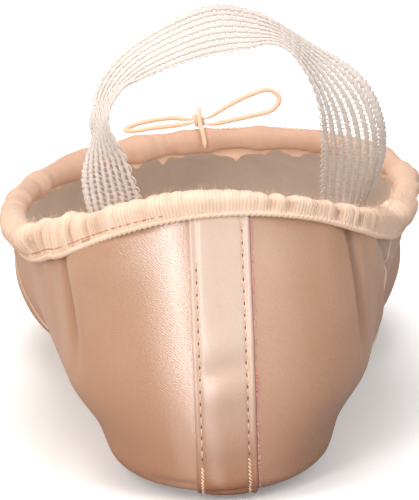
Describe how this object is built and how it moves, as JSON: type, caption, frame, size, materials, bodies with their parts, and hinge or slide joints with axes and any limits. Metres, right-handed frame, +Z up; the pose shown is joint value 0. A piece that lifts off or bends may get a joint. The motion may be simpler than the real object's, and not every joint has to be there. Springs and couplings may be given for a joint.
{
  "type": "pointe shoe",
  "caption": "Satin pointe shoe with a stiff flat-ended toe box, gathered drawstring collar with a bow, back seam tape, elastic heel loop and narrow leather sole.",
  "frame": {"origin": "middle of the bounding box at floor level, without the drawstring's bow", "axes": "+Z up, +Y from heel to platform, +X to the right seen from behind the heel"},
  "size_m": [0.0858, 0.2372, 0.0931],
  "materials": {
    "satin": "peach satin with a fine diagonal weave and a soft sheen",
    "sole_leather": "plain tan leather, matt and lightly napped",
    "lining": "grey-beige cotton drill",
    "binding": "pale peach gathered cotton casing",
    "elastic": "off-white openwork knit elastic",
    "drawstring": "pale twisted cotton cord"
  },
  "bodies": {
    "root": {"upper": "satin", "outsole": "sole_leather", "insole": "lining", "collar_binding": "binding", "back_strip": "satin", "elastic_strap": "elastic", "bow_knot": "drawstring", "bow_loop_left": "drawstring", "bow_loop_right": "drawstring", "bow_end": "drawstring"}
  },
  "joints": []
}
